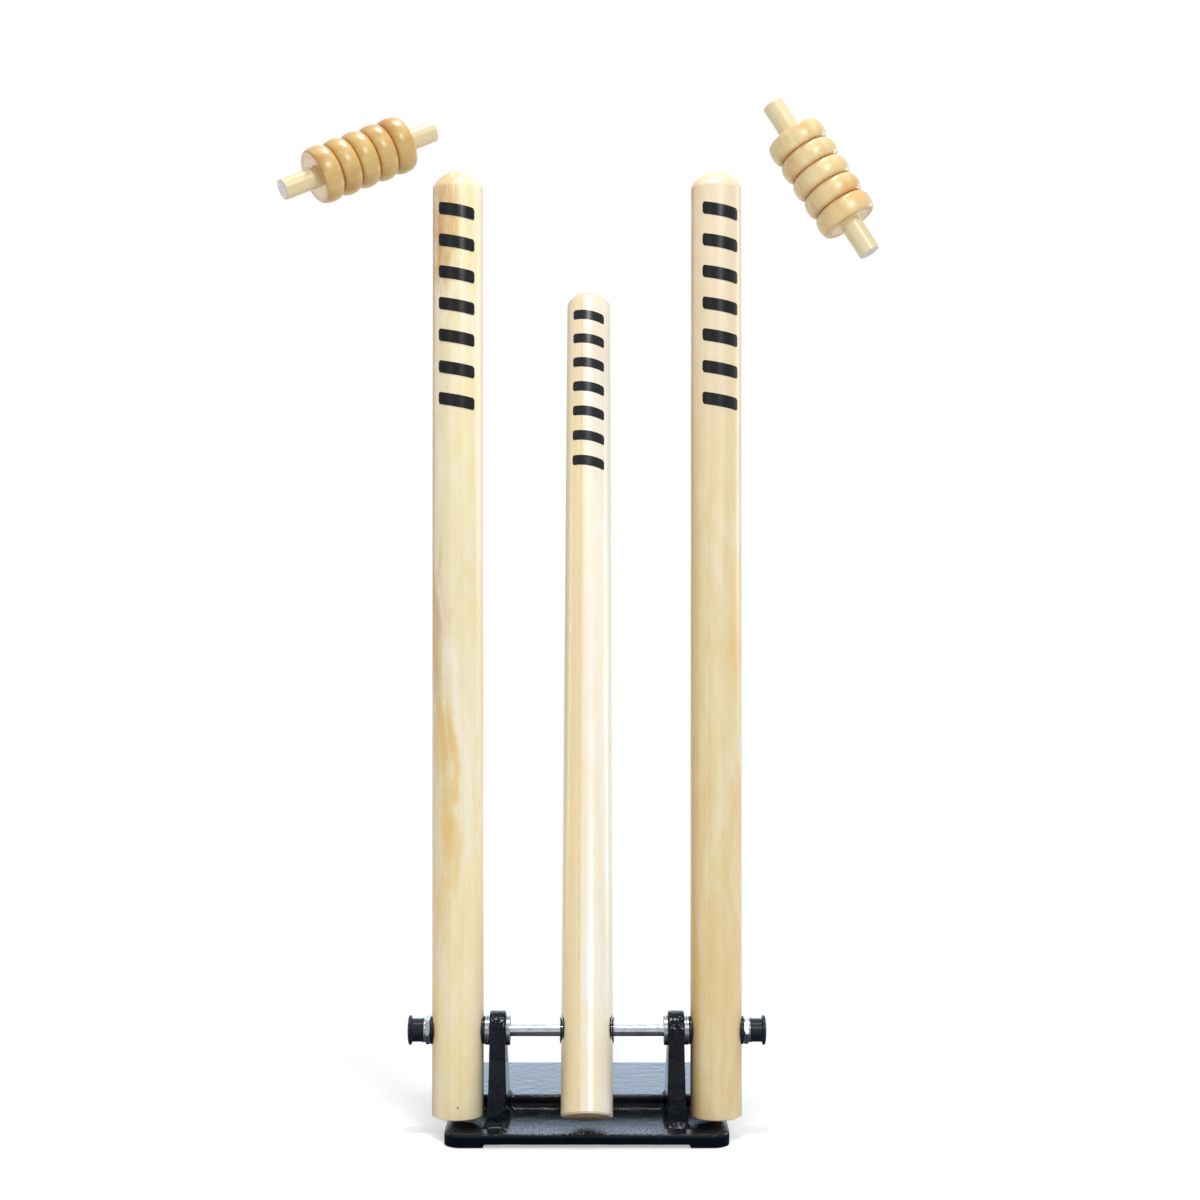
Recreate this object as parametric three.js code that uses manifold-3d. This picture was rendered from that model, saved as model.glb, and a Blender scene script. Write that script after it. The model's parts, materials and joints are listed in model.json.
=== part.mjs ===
// Spring-back cricket stumps: three wooden stumps that turn by themselves on one steel rod,
// held by two brackets of a cast base, with a return spring round the rod in each stump.
// Lengths are millimetres and angles degrees. The origin is on the floor under the middle of
// the rod, with +X to the right as seen from the front, +Y to the back and +Z up.
import * as THREE from "three";
import { mergeVertices } from "three/addons/utils/BufferGeometryUtils.js";
import Module from "manifold-3d";

// Wicket
const wicketWidth = 228.6;
const wicketHeight = 711.2;
const stumpDiameter = 38;
const stumpTopDiameter = 37;
const stumpBelowRod = 63;
const footChamfer = 0.8;
const domeRadius = 18.2;
const domeHeight = 12.2;
const shoulderBreak = 1.3;
const bailGrooveRadius = 7;
const bailGrooveDepth = 4.5;
const middleTilt = 23.4;

// Clearances
const fit = 0.3;
const runningGap = 0.3;
const swingClearance = 2.2;
const stepClearance = 1.5;
const overrun = 2;

// Rod and what is threaded on it
const rodDiameter = 9;
const rodChamfer = 0.8;
const washerDiameter = 21.5;
const washerThickness = 1.7;
const endWasherDiameter = 17.8;
const endWasherThickness = 1.3;
const nutAcrossFlats = 18.4;
const nutThickness = 3.3;
const nutChamfer = 0.9;
const leftNutTurn = 20;
const rightNutTurn = 27;
const retainerDiameter = 19;
const retainerThickness = 0.8;
const retainerDish = 0.7;

// Spool-shaped end caps
const capLength = 12.1;
const capRimDiameter = 17.8;
const capRimLength = 1.3;
const capBodyDiameter = 17.1;
const capFlangeDiameter = 21.4;
const capFlangeLength = 1.6;
const capFlare = 0.5;
const capDome = 1.4;
const capEndWall = 3;

// Bushes
const stumpBoreDiameter = 16;
const stumpFlangeDiameter = 20.6;
const outerFlangeThickness = 2.2;
const outerSpotDepth = 1.2;
const middleFlangeThickness = 1.3;
const middleSpotDepth = 2.2;
const spotDiameter = 21.6;
const bracketSleeveDiameter = 14;
const bracketSleeveSetBack = 0.5;
const bracketFlangeDiameter = 22;
const bracketFlangeThickness = 3;
const bushChamfer = 0.5;

// Return springs
const wireDiameter = 1.8;
const coilDiameter = 12.5;
const coilPitch = 2.5;
const coilCount = 7;
const rodLegDepth = 2.5;
const woodLegDepth = 5;
const legAngle = 90;
const springEndGap = 0.8;

// Set screws that stop the rod from turning in the brackets
const screwDiameter = 4.6;
const screwLength = 8.5;
const screwSocketAcrossFlats = 2.5;
const screwSocketDepth = 2.5;
const screwPointChamfer = 0.8;

// Cast base
const baseWidth = 207.5;
const baseFront = 35;
const baseBack = 145;
const shelfHeight = 10;
const plateauHeight = 21;
const frontCornerRadius = 13;
const rearCornerRadius = 16;
const stepCornerRadius = 3.5;
const castEdge = 2;
const stepFillet = 3;
const footRelief = 2.3;
const footLength = 29;
const footDepth = 29;
const baseWall = 9;
const plateThickness = 8;
const ribThickness = 7;
const pocketColumns = 3;
const pocketRows = 2;
const pocketCornerRadius = 5;

// Brackets of the base
const bossDiameter = 28.5;
const bossThickness = 12;
const webThicknessAtRod = 11.4;
const webThicknessAtFoot = 14.3;
const webFrontReach = 19;
const webBackReach = 45;
const webFillet = 3.5;
const webCornerRadius = 1.5;

// Bails, and where they fly when the wicket is hit
const bailBarrelLength = 56.5;
const bailBeads = 5;
const bailBeadDiameter = 31;
const bailWaistDiameter = 23.4;
const bailFaceDiameter = 26.5;
const bailSpigotDiameter = 11.4;
const bailShortSpigot = 19.1;
const bailLongSpigot = 19.6;
const bailEndRound = 1;
const leftFlightDistance = 410.4;
const rightFlightDistance = 453.9;
const leftFlight = { sideways: -10.4, drop: 11.3, heading: 27.3, rise: 25.1 };
const rightFlight = { sideways: 10, drop: 12.6, heading: -16.7, rise: -57.4 };

// Facets
const stumpSides = 36;
const ringSides = 20;
const arcSteps = 6;
const edgeSteps = 3;
const beadSteps = 6;
const bailSides = 16;
const coilSteps = 8;
const wireSides = 5;

// Derived sizes and places
const degree = Math.PI / 180;
const stumpRadius = stumpDiameter / 2;
const stumpSpacing = (wicketWidth - stumpDiameter) / 2;
const sweepRadius = Math.hypot(stumpBelowRod, stumpRadius);
const rodHeight = shelfHeight + swingClearance + sweepRadius;
const grooveHalfWidth = Math.sqrt(2 * bailGrooveRadius * bailGrooveDepth - bailGrooveDepth ** 2);
const crownLoss = domeRadius - Math.sqrt(domeRadius ** 2 - grooveHalfWidth ** 2);
const stumpAboveRod = wicketHeight + crownLoss - rodHeight;
const plateauDrop = rodHeight - plateauHeight;
const stepY = Math.sqrt((sweepRadius + stepClearance) ** 2 - plateauDrop ** 2);
const rodRadius = rodDiameter / 2;
const boreRadius = rodRadius + fit;
const outerFlangeProud = outerFlangeThickness - outerSpotDepth;
const stumpFaceX = stumpSpacing - stumpRadius;
const innerWasherX = stumpFaceX - outerFlangeProud - runningGap - washerThickness;
const bracketWasherX = innerWasherX - washerThickness;
const bracketX = bracketWasherX - bossThickness / 2;
const bracketInnerX = bracketWasherX - bossThickness;
const nutX = stumpSpacing + stumpRadius + outerFlangeProud + runningGap;
const endWasherX = nutX + nutThickness;
const capX = endWasherX + endWasherThickness;
const rodEndX = capX + capLength - capEndWall - fit;
const middleFlangeX = stumpRadius - middleSpotDepth;
const retainerX = middleFlangeX + middleFlangeThickness + runningGap;
const springLength = coilCount * coilPitch;
const coilRadius = coilDiameter / 2;
const wireRadius = wireDiameter / 2;

const wasm = await Module();
wasm.setup();

// Solids and geometries

function signedVolume(positions, corners) {
  const a = new THREE.Vector3();
  const b = new THREE.Vector3();
  const c = new THREE.Vector3();
  let sixfold = 0;
  for (let i = 0; i < corners.length; i += 3) {
    a.fromArray(positions, 3 * corners[i]);
    b.fromArray(positions, 3 * corners[i + 1]);
    c.fromArray(positions, 3 * corners[i + 2]);
    sixfold += a.dot(b.cross(c));
  }
  return sixfold / 6;
}

// A closed geometry as a solid with its faces outward, without triangles that have no area.
function solid(geometry) {
  const bare = geometry.clone();
  bare.deleteAttribute("normal");
  bare.deleteAttribute("uv");
  const merged = mergeVertices(bare);
  const positions = Float32Array.from(merged.attributes.position.array);
  const corners = [];
  for (let i = 0; i < merged.index.count; i += 3) {
    const a = merged.index.getX(i);
    const b = merged.index.getX(i + 1);
    const c = merged.index.getX(i + 2);
    if (a !== b && b !== c && c !== a) {
      corners.push(a, b, c);
    }
  }
  if (signedVolume(positions, corners) < 0) {
    corners.reverse();
  }
  const triVerts = Uint32Array.from(corners);
  return new wasm.Manifold(new wasm.Mesh({ numProp: 3, vertProperties: positions, triVerts }));
}

function geometryOf(shape) {
  const { vertProperties, triVerts } = shape.getMesh();
  const geometry = new THREE.BufferGeometry();
  geometry.setAttribute("position", new THREE.BufferAttribute(vertProperties, 3));
  geometry.setIndex(new THREE.BufferAttribute(triVerts, 1));
  geometry.computeVertexNormals();
  return geometry;
}

function joined(shapes) {
  return shapes.reduce((whole, shape) => whole.add(shape));
}

function cut(shape, cutters) {
  return cutters.reduce((rest, cutter) => rest.subtract(cutter), shape);
}

function block(x0, x1, y0, y1, z0, z1) {
  const geometry = new THREE.BoxGeometry(x1 - x0, y1 - y0, z1 - z0);
  return solid(geometry.translate((x0 + x1) / 2, (y0 + y1) / 2, (z0 + z1) / 2));
}

// A turned piece on the X axis: its profile is a list of [x, radius].
function turned(profile, sides = ringSides) {
  const points = profile.map(([x, radius]) => new THREE.Vector2(radius, x));
  return solid(new THREE.LatheGeometry(points, sides).rotateZ(-Math.PI / 2));
}

function plug(x0, x1, radius, sides = ringSides) {
  return turned([[x0, 0], [x0, radius], [x1, radius], [x1, 0]], sides);
}

// A round hole through the X axis, from one radius to another at an angle from +Y towards +Z.
function radialHole(x, innerRadius, outerRadius, radius, angle) {
  const length = outerRadius - innerRadius;
  const geometry = new THREE.CylinderGeometry(radius, radius, length, ringSides / 2);
  geometry.translate(0, innerRadius + length / 2, 0);
  return solid(geometry.rotateX(angle * degree).translate(x, 0, 0));
}

// A drawing in the YZ plane, pushed along +X.
function pushedAlongX(outline, depth, steps = arcSteps) {
  const geometry = new THREE.ExtrudeGeometry(outline, {
    depth,
    bevelEnabled: false,
    curveSegments: steps,
  });
  const y = new THREE.Vector3(0, 1, 0);
  const z = new THREE.Vector3(0, 0, 1);
  const x = new THREE.Vector3(1, 0, 0);
  return geometry.applyMatrix4(new THREE.Matrix4().makeBasis(y, z, x));
}

// Cast base

function cornered(x0, x1, y0, y1, front, rear) {
  const outline = new THREE.Shape();
  outline.moveTo(x0 + front, y0);
  outline.lineTo(x1 - front, y0);
  outline.absarc(x1 - front, y0 + front, front, -Math.PI / 2, 0, false);
  outline.lineTo(x1, y1 - rear);
  outline.absarc(x1 - rear, y1 - rear, rear, 0, Math.PI / 2, false);
  outline.lineTo(x0 + rear, y1);
  outline.absarc(x0 + rear, y1 - rear, rear, Math.PI / 2, Math.PI, false);
  outline.lineTo(x0, y0 + front);
  outline.absarc(x0 + front, y0 + front, front, Math.PI, 1.5 * Math.PI, false);
  return outline;
}

// A slab from below the floor up to its top, with rounded top edges.
function castSlab(outline, top) {
  const geometry = new THREE.ExtrudeGeometry(outline, {
    depth: top - castEdge + overrun,
    bevelThickness: castEdge,
    bevelSize: castEdge,
    bevelOffset: -castEdge,
    bevelSegments: edgeSteps,
    curveSegments: arcSteps,
  });
  return solid(geometry.translate(0, 0, -overrun));
}

// The hollow curve of a fillet in a corner: its flat sides lie on -X and +Y of the drawing.
function filletOutline(radius) {
  const outline = new THREE.Shape();
  outline.moveTo(-radius, -overrun);
  outline.lineTo(-radius, 0);
  outline.absarc(-radius, radius, radius, -Math.PI / 2, 0, false);
  outline.lineTo(overrun, radius);
  outline.lineTo(overrun, -overrun);
  return outline;
}

function stepFoot() {
  const length = baseWidth - 2 * stepCornerRadius;
  const strip = pushedAlongX(filletOutline(stepFillet), length);
  return solid(strip.translate(-length / 2, stepY, shelfHeight));
}

// Where the line from a point touches the boss; turn is 1 for its back and -1 for its front.
function touchAngle(y, z, turn) {
  const distance = Math.hypot(y, z - rodHeight);
  const towards = Math.atan2(z - rodHeight, y);
  return towards + turn * Math.acos(bossDiameter / 2 / distance);
}

function webHalfAt(z) {
  const slope = (webThicknessAtFoot - webThicknessAtRod) / (rodHeight - shelfHeight);
  return (webThicknessAtRod + slope * (rodHeight - z)) / 2;
}

function webOutline() {
  const frontTouch = touchAngle(-webFrontReach, shelfHeight, -1);
  const backTouch = touchAngle(webBackReach, plateauHeight, 1);
  const outline = new THREE.Shape();
  outline.moveTo(webBackReach, shelfHeight - overrun);
  outline.lineTo(webBackReach, plateauHeight);
  outline.absarc(0, rodHeight, bossDiameter / 2, backTouch, frontTouch + 2 * Math.PI, false);
  outline.lineTo(-webFrontReach, shelfHeight);
  outline.lineTo(-webFrontReach, shelfHeight - overrun);
  return outline;
}

// The bracket's tapered web, thicker at its foot.
function bracketWeb(centreX) {
  const geometry = pushedAlongX(webOutline(), 1, 3 * arcSteps);
  const position = geometry.attributes.position;
  for (let i = 0; i < position.count; i += 1) {
    const side = 2 * position.getX(i) - 1;
    position.setX(i, centreX + side * webHalfAt(position.getZ(i)));
  }
  return solid(geometry);
}

// A ring of points round a rectangle with rounded corners.
function corneredRing(x0, x1, y0, y1, radius, z) {
  const middleX = (x0 + x1) / 2;
  const middleY = (y0 + y1) / 2;
  const points = [];
  for (let corner = 0; corner < 4; corner += 1) {
    for (let step = 0; step <= edgeSteps; step += 1) {
      const angle = (corner + step / edgeSteps) * (Math.PI / 2);
      const middleAngle = (corner + 0.5) * (Math.PI / 2);
      const x = middleX + Math.sign(Math.cos(middleAngle)) * ((x1 - x0) / 2 - radius);
      const y = middleY + Math.sign(Math.sin(middleAngle)) * ((y1 - y0) / 2 - radius);
      points.push(new THREE.Vector3(x + radius * Math.cos(angle), y + radius * Math.sin(angle), z));
    }
  }
  return points;
}

// A closed skin over rings of as many points each, with a fan on each end.
function lofted(rings) {
  const count = rings[0].length;
  const points = rings.flat();
  const corners = [];
  for (let level = 0; level + 1 < rings.length; level += 1) {
    for (let i = 0; i < count; i += 1) {
      const next = (i + 1) % count;
      const low = level * count;
      const high = low + count;
      corners.push(low + i, low + next, high + next, low + i, high + next, high + i);
    }
  }
  const last = (rings.length - 1) * count;
  for (let i = 1; i + 1 < count; i += 1) {
    corners.push(0, i + 1, i, last, last + i, last + i + 1);
  }
  const geometry = new THREE.BufferGeometry().setFromPoints(points);
  geometry.setIndex(corners);
  return solid(geometry);
}

// The fillet that spreads from a web's foot on to the surface it stands on.
function webFoot(centreX, y0, y1, floorZ) {
  const rings = [];
  for (let step = -1; step <= edgeSteps; step += 1) {
    const angle = (Math.max(step, 0) / edgeSteps) * (Math.PI / 2);
    const spread = webFillet * (1 - Math.sin(angle));
    const z = floorZ + (step < 0 ? -overrun : webFillet * (1 - Math.cos(angle)));
    const half = webHalfAt(Math.max(z, floorZ)) + spread;
    const corner = webCornerRadius + spread;
    rings.push(corneredRing(centreX - half, centreX + half, y0 - spread, y1 + spread, corner, z));
  }
  return lofted(rings);
}

function bracket(side) {
  const centreX = side * bracketX;
  const halfBoss = bossThickness / 2;
  const boss = plug(centreX - halfBoss, centreX + halfBoss, bossDiameter / 2, stumpSides);
  const backFootY = stepY + webFillet + castEdge;
  return joined([
    bracketWeb(centreX),
    boss.translate([0, 0, rodHeight]),
    webFoot(centreX, -webFrontReach, stepY, shelfHeight),
    webFoot(centreX, backFootY, webBackReach, plateauHeight),
  ]);
}

function bracketHoles(side) {
  const centreX = side * bracketX;
  const reach = bossThickness / 2 + overrun;
  const bore = plug(centreX - reach, centreX + reach, bracketSleeveDiameter / 2 + fit);
  const tapped = radialHole(centreX, 0, bossDiameter / 2 + overrun, screwDiameter / 2 + fit, 0);
  return [bore, tapped].map((hole) => hole.translate([0, 0, rodHeight]));
}

// Corner feet, as columns of any height.
function footColumns(z0, z1) {
  const columns = [];
  for (const side of [-1, 1]) {
    for (const y of [-baseFront - overrun, baseBack - footDepth]) {
      const x0 = side < 0 ? -baseWidth / 2 - overrun : baseWidth / 2 - footLength;
      const x1 = side < 0 ? footLength - baseWidth / 2 : baseWidth / 2 + overrun;
      columns.push(block(x0, x1, y, y + footDepth + overrun, z0, z1));
    }
  }
  return columns;
}

function undersideRelief() {
  const half = baseWidth / 2 + 2 * overrun;
  const plate = block(-half, half, -baseFront - 2 * overrun, baseBack + 2 * overrun, -overrun, footRelief);
  return cut(plate, footColumns(-2 * overrun, footRelief + overrun));
}

// The hollows under the high rear part, between its wall, its ribs and its solid feet.
function undersidePockets() {
  const x0 = baseWall - baseWidth / 2;
  const y0 = stepY + baseWall;
  const width = (-2 * x0 - (pocketColumns - 1) * ribThickness) / pocketColumns;
  const depth = (baseBack - baseWall - y0 - (pocketRows - 1) * ribThickness) / pocketRows;
  const pockets = [];
  for (let column = 0; column < pocketColumns; column += 1) {
    for (let row = 0; row < pocketRows; row += 1) {
      const x = x0 + column * (width + ribThickness);
      const y = y0 + row * (depth + ribThickness);
      const outline = cornered(x, x + width, y, y + depth, pocketCornerRadius, pocketCornerRadius);
      const geometry = new THREE.ExtrudeGeometry(outline, {
        depth: plateauHeight - plateThickness + overrun,
        bevelEnabled: false,
        curveSegments: edgeSteps,
      });
      pockets.push(solid(geometry.translate(0, 0, -overrun)));
    }
  }
  return cut(joined(pockets), footColumns(-2 * overrun, plateauHeight));
}

function baseCasting() {
  const half = baseWidth / 2;
  const shelf = cornered(-half, half, -baseFront, baseBack, frontCornerRadius, rearCornerRadius);
  const plateau = cornered(-half, half, stepY, baseBack, stepCornerRadius, rearCornerRadius);
  const body = joined([
    castSlab(shelf, shelfHeight),
    castSlab(plateau, plateauHeight),
    stepFoot(),
    bracket(-1),
    bracket(1),
  ]);
  const belowFloor = block(-baseWidth, baseWidth, -baseBack, 2 * baseBack, -2 * baseBack, 0);
  return cut(body, [
    belowFloor,
    undersideRelief(),
    undersidePockets(),
    ...bracketHoles(-1),
    ...bracketHoles(1),
  ]);
}

// Rod and the pieces on it, all turned about the X axis

function pivotRod() {
  const rod = turned([
    [-rodEndX, 0],
    [-rodEndX, rodRadius - rodChamfer],
    [rodChamfer - rodEndX, rodRadius],
    [rodEndX - rodChamfer, rodRadius],
    [rodEndX, rodRadius - rodChamfer],
    [rodEndX, 0],
  ]);
  const legHoles = [-stumpSpacing, 0, stumpSpacing].map((x) =>
    radialHole(
      x - springLength / 2,
      rodRadius - rodLegDepth - fit,
      rodRadius + overrun,
      wireRadius + fit,
      legAngle,
    ),
  );
  return cut(rod, legHoles);
}

function washer(diameter, thickness) {
  return turned([
    [0, boreRadius],
    [0, diameter / 2],
    [thickness, diameter / 2],
    [thickness, boreRadius],
    [0, boreRadius],
  ]);
}

// A thin dished washer, its rim away from the stump.
function retainer() {
  const outer = retainerDiameter / 2;
  const seat = (boreRadius + outer) / 2;
  return turned([
    [0, boreRadius],
    [0, seat],
    [retainerDish, outer],
    [retainerDish + retainerThickness, outer],
    [retainerThickness, seat],
    [retainerThickness, boreRadius],
    [0, boreRadius],
  ]);
}

// A thin hex nut, turned on the rod from where two of its corners point straight up and down.
function hexNut(turn) {
  const cornerRadius = nutAcrossFlats / 2 / Math.cos(30 * degree);
  const hexagon = new THREE.CylinderGeometry(cornerRadius, cornerRadius, nutThickness, 6);
  const body = solid(hexagon.rotateZ(Math.PI / 2).translate(nutThickness / 2, 0, 0));
  const chamfered = turned([
    [0, boreRadius],
    [0, cornerRadius - nutChamfer],
    [nutChamfer, cornerRadius],
    [nutThickness - nutChamfer, cornerRadius],
    [nutThickness, cornerRadius - nutChamfer],
    [nutThickness, boreRadius],
    [0, boreRadius],
  ]);
  return body.rotate([turn, 0, 0]).intersect(chamfered);
}

// A spool-shaped cap: a small rim, a plain body, and a wide flange with a slightly domed end.
function endCap() {
  const body = capBodyDiameter / 2;
  const flange = capFlangeDiameter / 2;
  const flangeEnd = capLength - capDome;
  const flangeStart = flangeEnd - capFlangeLength;
  const profile = [
    [0, 0],
    [0, capRimDiameter / 2],
    [capRimLength, capRimDiameter / 2],
    [capRimLength, body],
  ];
  for (let step = 0; step <= edgeSteps; step += 1) {
    const angle = (step / edgeSteps) * (Math.PI / 2);
    profile.push([
      flangeStart - capFlare * (1 - Math.sin(angle)),
      body + capFlare * (1 - Math.cos(angle)),
    ]);
  }
  profile.push([flangeStart, flange]);
  for (let step = 0; step <= edgeSteps; step += 1) {
    const share = 1 - step / edgeSteps;
    profile.push([capLength - capDome * share ** 2, flange * share]);
  }
  return turned(profile).subtract(plug(-overrun, capLength - capEndWall, boreRadius));
}

// A bush that reaches into its bore from x = 0 towards -X, with its flange on the other side.
function flangedBush(flangeDiameter, flangeThickness, sleeveDiameter, sleeveLength) {
  return turned([
    [-sleeveLength, boreRadius],
    [-sleeveLength, sleeveDiameter / 2],
    [0, sleeveDiameter / 2],
    [0, flangeDiameter / 2],
    [flangeThickness - bushChamfer, flangeDiameter / 2],
    [flangeThickness, flangeDiameter / 2 - bushChamfer],
    [flangeThickness, boreRadius],
    [-sleeveLength, boreRadius],
  ]);
}

function stumpBush(spotDepth, flangeThickness) {
  const springEnd = springLength / 2 + wireRadius + springEndGap;
  const sleeveLength = stumpRadius - spotDepth - springEnd;
  return flangedBush(stumpFlangeDiameter, flangeThickness, stumpBoreDiameter - 2 * fit, sleeveLength);
}

function bracketBush() {
  const length = bossThickness - bracketSleeveSetBack;
  const bush = flangedBush(
    bracketFlangeDiameter,
    bracketFlangeThickness,
    bracketSleeveDiameter,
    length,
  );
  const reach = bracketSleeveDiameter / 2 + overrun;
  return bush.subtract(radialHole(-bossThickness / 2, 0, reach, screwDiameter / 2 + fit, 0));
}

function setScrew() {
  const radius = screwDiameter / 2;
  const body = turned([
    [0, 0],
    [0, radius - screwPointChamfer],
    [screwPointChamfer, radius],
    [screwLength, radius],
    [screwLength, 0],
  ]);
  const socketRadius = screwSocketAcrossFlats / 2 / Math.cos(30 * degree);
  return body.subtract(plug(screwLength - screwSocketDepth, screwLength + overrun, socketRadius, 6));
}

// Return springs: a coil round the rod, one end bent into the rod and one into the wood

function springPath(wind) {
  const steps = coilCount * coilSteps;
  const turns = 360 * coilCount + wind;
  const at = (share, radius) => {
    const angle = (legAngle + share * turns) * degree;
    const x = (share - 0.5) * springLength;
    return new THREE.Vector3(x, radius * Math.cos(angle), radius * Math.sin(angle));
  };
  const path = [at(0, rodRadius - rodLegDepth)];
  for (let step = 0; step <= steps; step += 1) {
    path.push(at(step / steps, coilRadius));
  }
  path.push(at(1, stumpBoreDiameter / 2 + woodLegDepth));
  return path;
}

// A tube along a path of straight runs, with every corner mitred.
function mitredTube(path, radius, sides) {
  const firstRun = path[1].clone().sub(path[0]).normalize();
  const across = new THREE.Vector3(1, 0, 0);
  const up = firstRun.clone().cross(across);
  const rings = [[]];
  for (let i = 0; i < sides; i += 1) {
    const angle = (i / sides) * 2 * Math.PI;
    const point = path[0].clone().addScaledVector(across, radius * Math.cos(angle));
    rings[0].push(point.addScaledVector(up, radius * Math.sin(angle)));
  }
  for (let i = 1; i < path.length; i += 1) {
    const into = path[i].clone().sub(path[i - 1]).normalize();
    const onwards = i + 1 < path.length ? path[i + 1].clone().sub(path[i]).normalize() : into;
    const mitre = into.clone().add(onwards).normalize();
    rings.push(rings[i - 1].map((point) => {
      const reach = path[i].clone().sub(point).dot(mitre) / into.dot(mitre);
      return point.clone().addScaledVector(into, reach);
    }));
  }
  return lofted(rings);
}

function leastSelfGap(path) {
  let least = Infinity;
  for (let i = 0; i < path.length; i += 1) {
    for (let j = i + coilSteps / 2; j < path.length; j += 1) {
      least = Math.min(least, path[i].distanceTo(path[j]) - wireDiameter);
    }
  }
  return least;
}

// Stumps, upright with the rod at their origin

function woodenStump(spotDepth) {
  const rim = Math.sqrt(2 * domeRadius * domeHeight - domeHeight ** 2);
  const rimZ = stumpAboveRod - domeHeight;
  const profile = [
    [0, -stumpBelowRod],
    [stumpRadius - footChamfer, -stumpBelowRod],
    [stumpRadius, footChamfer - stumpBelowRod],
    [stumpTopDiameter / 2, rimZ - shoulderBreak],
  ];
  const widest = Math.asin(rim / domeRadius);
  for (let step = 0; step <= arcSteps; step += 1) {
    const angle = widest * (1 - step / arcSteps);
    const drop = domeRadius * (1 - Math.cos(angle));
    profile.push([domeRadius * Math.sin(angle), stumpAboveRod - drop]);
  }
  const points = profile.map(([radius, z]) => new THREE.Vector2(radius, z));
  const blank = solid(new THREE.LatheGeometry(points, stumpSides).rotateX(Math.PI / 2));
  const end = stumpRadius + overrun;
  const flat = stumpRadius - spotDepth;
  const groove = plug(-end, end, bailGrooveRadius);
  const legEnd = stumpBoreDiameter / 2 + woodLegDepth + fit;
  return cut(blank, [
    plug(-end, end, stumpBoreDiameter / 2),
    plug(flat, end, spotDiameter / 2),
    plug(-end, -flat, spotDiameter / 2),
    groove.translate([0, 0, stumpAboveRod - bailGrooveDepth + bailGrooveRadius]),
    radialHole(springLength / 2, coilRadius, legEnd, wireRadius + fit, legAngle),
  ]);
}

// Bails, along the X axis with the middle of the barrel at their origin

function turnedBail() {
  const half = bailBarrelLength / 2;
  const beadHalf = half / bailBeads;
  const waist = bailWaistDiameter / 2;
  const face = bailFaceDiameter / 2;
  const crown = bailBeadDiameter / 2;
  const spigot = bailSpigotDiameter / 2;
  const start = -half - bailLongSpigot;
  const end = half + bailShortSpigot;
  const profile = [
    [start, 0],
    [start, spigot - bailEndRound],
    [start + bailEndRound, spigot],
    [-half, spigot],
    [-half, face],
  ];
  for (let bead = 0; bead < bailBeads; bead += 1) {
    const middle = (2 * bead + 1) * beadHalf - half;
    for (let step = 1; step <= beadSteps; step += 1) {
      const angle = (step / beadSteps) * Math.PI;
      const outermost = bead === 0 && step < beadSteps / 2;
      const last = bead === bailBeads - 1 && step > beadSteps / 2;
      const foot = outermost || last ? face : waist;
      profile.push([middle - beadHalf * Math.cos(angle), foot + (crown - foot) * Math.sin(angle)]);
    }
  }
  profile.push([half, spigot], [end - bailEndRound, spigot], [end, spigot - bailEndRound], [end, 0]);
  return turned(profile, bailSides);
}

// Where a bail flies: its own direction, and its path away from its place on the stumps.
function flyingBail(mesh, side, distance, flight) {
  const grooveZ = rodHeight + stumpAboveRod - bailGrooveDepth;
  const seatZ = grooveZ + bailSpigotDiameter / 2;
  const seat = new THREE.Vector3((side * stumpSpacing) / 2, 0, seatZ);
  const away = new THREE.Vector3(0, -1, 0);
  away.applyAxisAngle(new THREE.Vector3(-1, 0, 0), -flight.drop * degree);
  away.applyAxisAngle(new THREE.Vector3(0, 0, 1), flight.sideways * degree);
  mesh.position.copy(seat).addScaledVector(away, distance);
  mesh.rotation.set(0, -flight.rise * degree, flight.heading * degree, "ZYX");
  return mesh;
}

// Assembly

const finishes = {
  enamel: { color: 0x16181c, roughness: 0.35, metalness: 0.3 },
  chrome: { color: 0xd9dce0, roughness: 0.12, metalness: 1 },
  zinc: { color: 0xb9bdc2, roughness: 0.3, metalness: 0.9 },
  phosphate: { color: 0x3a3a38, roughness: 0.45, metalness: 0.8 },
  plastic: { color: 0x121316, roughness: 0.4, metalness: 0 },
  springSteel: { color: 0x8d9094, roughness: 0.35, metalness: 0.9 },
  yellowWood: { color: 0xe2cf94, roughness: 0.3, metalness: 0 },
  creamWood: { color: 0xe8d9b4, roughness: 0.3, metalness: 0 },
  tanWood: { color: 0xd9bf88, roughness: 0.3, metalness: 0 },
};

function piece(name, shape, finish) {
  const mesh = new THREE.Mesh(geometryOf(shape), new THREE.MeshStandardMaterial(finishes[finish]));
  mesh.name = name;
  return mesh;
}

// Places a piece along the rod; one that faces -X is turned half round about the Y axis.
function along(mesh, x, facing) {
  mesh.position.x = x;
  mesh.rotation.y = facing < 0 ? Math.PI : 0;
  return mesh;
}

function returnSpring(name, x, wind) {
  const path = springPath(wind);
  console.log(`${name}: least gap between its turns ${leastSelfGap(path).toFixed(2)} mm`);
  return along(piece(name, mitredTube(path, wireRadius, wireSides), "springSteel"), x, 1);
}

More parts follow.
